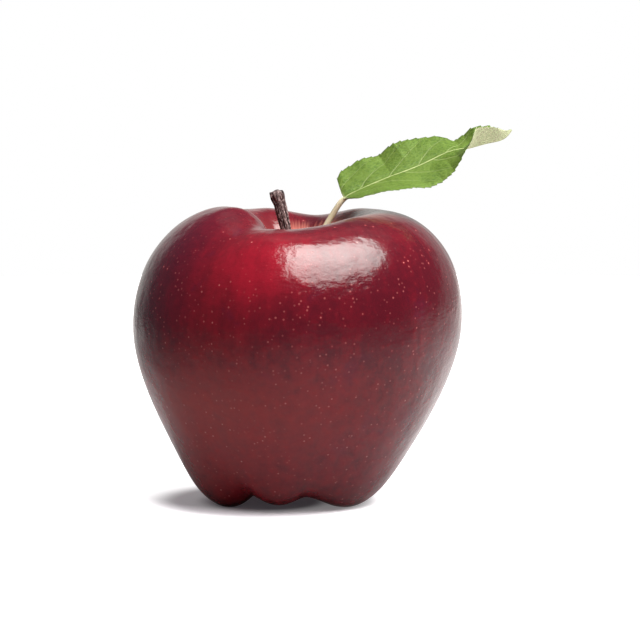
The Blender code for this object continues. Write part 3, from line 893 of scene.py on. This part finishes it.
def makeStage():
    floor = bmesh.new()
    bmesh.ops.create_circle(floor, cap_ends=True, segments=96, radius=studio["floor"]["radius"])
    bmesh.ops.translate(floor, verts=floor.verts, vec=(0, 0, studio["floor"]["height"]))
    pale = Look("floorPale", roughness=1.0, SpecularIORLevel=0.0)
    pale.feed(BaseColor=studio["floor"]["colour"])
    x, y, _ = pale.split(pale.place())
    away = ((x + studio["feetLeft"]) ** 2 + y**2) ** 0.5
    floorPaintedGlow = away.step(0.012, 0.018) * 0.15 + away.step(0.021, 0.031) * 0.77  # painted light: the floor glows white away from the feet, leaving a tight painted shadow near the apple
    pale.feed(EmissionColor=pale.mix(floorPaintedGlow, (0.030, 0.026, 0.030), (1, 1, 1)), EmissionStrength=1.0)
    stagePiece("floor", floor, pale, ["camera"])

    # what only lights the apple and shows in its gloss: a small table and a pale wall behind
    tableSize = studio["table"]["size"]
    table = flatPanel(tableSize, tableSize, (0.0, 0.0, studio["table"]["height"]))
    sheen = Look("tableSheen", roughness=1.0, SpecularIORLevel=0.0)
    x, y, _ = sheen.split(sheen.place())
    away = ((x - 0.04) ** 2 + y**2) ** 0.5
    # painted light: the table's colour fades away from the apple, and it glows most on the right and behind
    fade = away.step(0.90, 0.40) * 0.44 + away.step(0.28, 0.05) * 0.56
    bright = x.step(0.0, 0.12) * y.step(-0.12, 0.03) * 0.85
    bright = bright.atLeast(x.step(-0.50, -0.12) * y.step(0.04, 0.30) * 0.65)
    bright = bright + away.step(0.18, 0.05) * 0.20 + away.step(0.20, 0.42) * 0.14
    fromFeet = ((x + studio["feetLeft"]) ** 2 + y**2) ** 0.5
    bright = bright * fromFeet.step(0.014, 0.034)  # painted shadow: no glow between the feet
    sheen.feed(BaseColor=sheen.mix(fade, (0.0, 0.0, 0.0), studio["sheen"]))
    sheen.feed(EmissionColor=sheen.mix(bright, (0, 0, 0), (1.0, 0.96, 0.92)), EmissionStrength=1.0)
    stagePiece("tableSheen", table, sheen, ["diffuse", "glossy"])

    around = studio["wall"]
    wall = bmesh.new()
    bmesh.ops.create_circle(wall, segments=48, radius=around["radius"])
    inFront = [vertex for vertex in wall.verts if vertex.co.y < around["openFrom"]]
    bmesh.ops.delete(wall, geom=inFront, context="VERTS")
    upper = bmesh.ops.extrude_edge_only(wall, edges=wall.edges)["geom"]
    corners = [corner for corner in upper if isinstance(corner, bmesh.types.BMVert)]
    bmesh.ops.translate(wall, vec=(0, 0, around["height"]), verts=corners)
    glow = Look("wallSheen", roughness=1.0, SpecularIORLevel=0.0)
    x, y, z = glow.split(glow.place())
    # painted light: the wall glows in a low band and a fainter high one, none on the far left, dimmer on the
    # right
    low = (z - y.step(0.30, 0.85) * 0.36).step(0.16, 0.02)
    high = z.step(0.95, 1.30) * y.step(0.2, 0.6) * 0.8
    level = x.step(-0.75, -0.35) * low + x.step(-0.40, -0.10) * high
    shade = glow.mix(level * (1 - x.step(-0.05, 0.12) * 0.35), (0.18, 0.18, 0.19), studio["back"])
    glow.feed(BaseColor=(0, 0, 0), EmissionColor=shade, EmissionStrength=1.0)
    stagePiece("wallSheen", wall, glow, ["diffuse", "glossy"])

    # the softbox as the skin mirrors it: all but its back left corner cut off, brightest on that side
    facts = studio["softbox"]
    box = flatPanel(*facts["size"], facts["centre"])
    middleX, middleY, _ = facts["centre"]
    front = [corner for corner in box.verts if corner.co.y < middleY]
    cut = {"affect": "VERTICES", "profile": 0.5, "material": -1}
    bmesh.ops.bevel(box, geom=front, offset=facts["frontCut"], segments=1, **cut)
    back = [corner for corner in box.verts if corner.co.y > middleY + 0.4 and corner.co.x > middleX]
    bmesh.ops.bevel(box, geom=back, offset=facts["backCut"], segments=2, **cut)
    shine = Look("softboxShine", roughness=1.0, SpecularIORLevel=0.0, EmissionStrength=facts["shine"])
    x, y, _ = shine.split(shine.place())
    off = ((x - 0.11) ** 2 + (y + 0.18) ** 2) ** 0.5
    shade = shine.mix(off.step(0.0, 0.55), (0.86, 1.0, 0.955), (0.44, 0.5, 0.478))
    shine.feed(BaseColor=(0, 0, 0), EmissionColor=shade)
    stagePiece("softboxShine", box, shine, ["glossy"])


def makeLights():
    # the softbox as it lights the apple
    facts = studio["softbox"]
    light = bpy.data.lights.new("softboxLight", "AREA")
    light.shape = "ELLIPSE"
    light.size, light.size_y = facts["size"]
    light.energy = facts["light"]
    lamp = bpy.data.objects.new("softboxLight", light)
    lamp.location = Vector(facts["centre"]) * 1.01  # behind its mirror image
    lamp.visible_glossy = False
    bpy.context.scene.collection.objects.link(lamp)
    world = bpy.data.worlds.new("studio")
    world.use_nodes = True
    nodes, links = world.node_tree.nodes, world.node_tree.links
    room = nodes["Background"]
    room.inputs["Color"].default_value = (*studio["room"], 1.0)
    white = nodes.new("ShaderNodeBackground")
    white.inputs["Color"].default_value = (1.0, 1.0, 1.0, 1.0)
    path = nodes.new("ShaderNodeLightPath")
    either = nodes.new("ShaderNodeMixShader")
    links.new(path.outputs["Is Camera Ray"], either.inputs[0])
    links.new(room.outputs[0], either.inputs[1])
    links.new(white.outputs[0], either.inputs[2])
    links.new(either.outputs[0], nodes["World Output"].inputs["Surface"])
    bpy.context.scene.world = world


def makeCamera():
    facts = studio["camera"]
    rise = math.radians(facts["rise"])
    back = Vector((0.0, -math.cos(rise), math.sin(rise)))
    lens = bpy.data.cameras.new("camera")
    lens.sensor_width = 36.0
    lens.lens = 36.0 * facts["distance"] / (facts["viewWidth"] * mm)
    camera = bpy.data.objects.new("camera", lens)
    camera.location = Vector(facts["aim"]) * mm + back * facts["distance"]
    camera.rotation_euler = back.to_track_quat("Z", "Y").to_euler()
    bpy.context.scene.collection.objects.link(camera)
    bpy.context.scene.camera = camera
    print("table, lights and camera made")


makeFruit()
makeStem()
makeLeaf()
makeSepals()
makeStamens()
makeStage()
makeLights()
makeCamera()
bpy.context.scene.view_settings.view_transform = "Standard"
